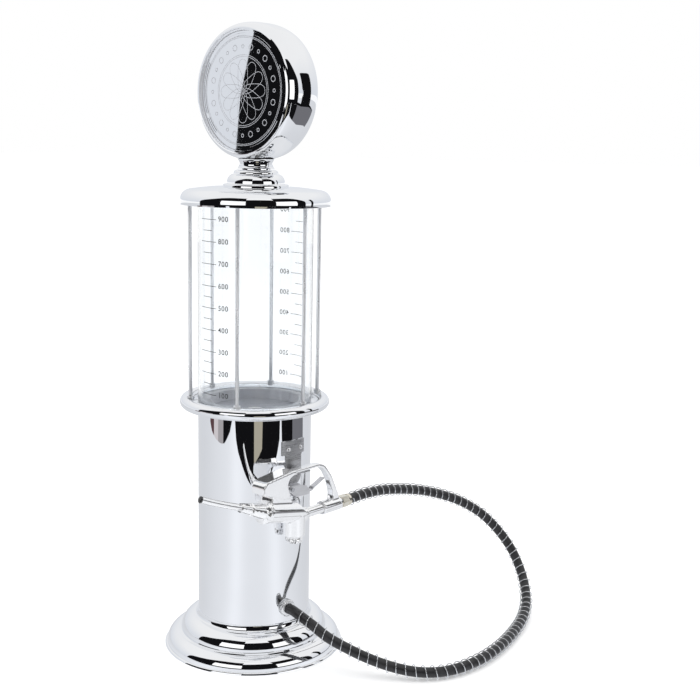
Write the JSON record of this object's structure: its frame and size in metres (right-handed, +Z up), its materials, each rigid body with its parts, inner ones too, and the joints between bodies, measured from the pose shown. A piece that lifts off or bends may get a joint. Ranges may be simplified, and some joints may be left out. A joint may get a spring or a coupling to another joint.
{
  "type": "drink dispenser",
  "caption": "Table-top drink dispenser shaped like a small fuel pump: round base and column, clear reservoir in a rod cage, lift-off lid with a round head, trigger gun on a hose.",
  "frame": {"origin": "centre of the rubber pad's underside, on the column's axis", "axes": "+Z up; the head's two faces look along -Y and +Y; the gun, hook and hose are on the +X side with the spout towards -Y"},
  "size_m": [0.2466, 0.3376, 0.4928],
  "materials": {
    "chrome": "polished",
    "gun_metal": "bright",
    "dial_metal": "polished, etched pattern",
    "steel": "satin",
    "brushed": "brushed",
    "dark_steel": "matte",
    "spring_steel": "bright wire",
    "warm_nickel": "satin nickel over brass",
    "tube_clear": "clear acrylic",
    "sump_clear": "clear acrylic, thick",
    "seal_white": "matte silicone",
    "seal_black": "matte",
    "pad_rubber": "matte foam rubber",
    "hose_rubber": "semi-gloss",
    "white_plastic": "moulded"
  },
  "bodies": {
    "stand": {"base_shell": "chrome", "bottom_plate": "dark_steel", "base_pad": "pad_rubber", "plate_screws": "steel", "column_tube": "chrome", "cage_lower_ring": "chrome", "lower_gasket": "seal_white", "reservoir_sump": "sump_clear", "reservoir_tube": "tube_clear", "upper_gasket": "seal_white", "cage_upper_ring": "chrome", "rod_1": "chrome", "rod_2": "chrome", "rod_3": "chrome", "rod_4": "chrome", "rod_5": "chrome", "rod_6": "chrome", "rod_collars": "chrome", "rod_nuts": "chrome", "outlet_tail": "white_plastic", "outlet_nut": "white_plastic", "inner_hose": "hose_rubber", "hose_clip": "steel", "gland_bush": "chrome", "gland_nut": "steel", "hook_bracket": "brushed", "hook_rivets": "steel", "hose": "hose_rubber", "hose_spring": "spring_steel"},
    "lid": {"lid_cover": "chrome", "lid_seal": "seal_white", "neck": "chrome", "neck_stud": "steel", "stud_nut": "steel", "stud_block": "steel", "head_front_shell": "chrome", "head_rear_shell": "chrome", "front_dial": "dial_metal", "rear_dial": "dial_metal"},
    "gun": {"gun_body": "gun_metal", "guard_bow": "gun_metal", "handle_pipe": "gun_metal", "hose_fitting": "warm_nickel", "spout_nose": "gun_metal", "spout_collar": "gun_metal", "spout_tube": "gun_metal", "valve_cap": "gun_metal", "cap_seal": "seal_black", "valve_spring": "spring_steel", "trigger_pin": "steel"},
    "valve": {"valve_stem": "steel", "valve_seal": "seal_black"},
    "trigger": {"trigger": "brushed"}
  },
  "joints": [
    {"name": "lid_lift", "type": "slide", "parent": "stand", "child": "lid", "axis": [0, 0, 1], "range_m": [0, 0.11]},
    {"name": "gun_unhook", "type": "slide", "parent": "stand", "child": "gun", "axis": [0.866, 0, 0.5], "range_m": [0, 0.04], "deforming": ["hose", "hose_spring"]},
    {"name": "trigger_pull", "type": "hinge", "parent": "gun", "child": "trigger", "pos_m": [0.056, -0.0193, 0.1433], "axis": [-1, 0, 0], "range_deg": [0, 15], "stiffness_Nm_per_rad": 0.01, "springref_deg": -34.38},
    {"name": "valve_push", "type": "slide", "parent": "gun", "child": "valve", "axis": [0, 0, -1], "range_m": [0, 0.0023], "deforming": ["valve_spring"]}
  ],
  "couplings": [
    {"joint": "valve_push", "follows": "trigger_pull", "m_per_rad": 0.0085}
  ]
}
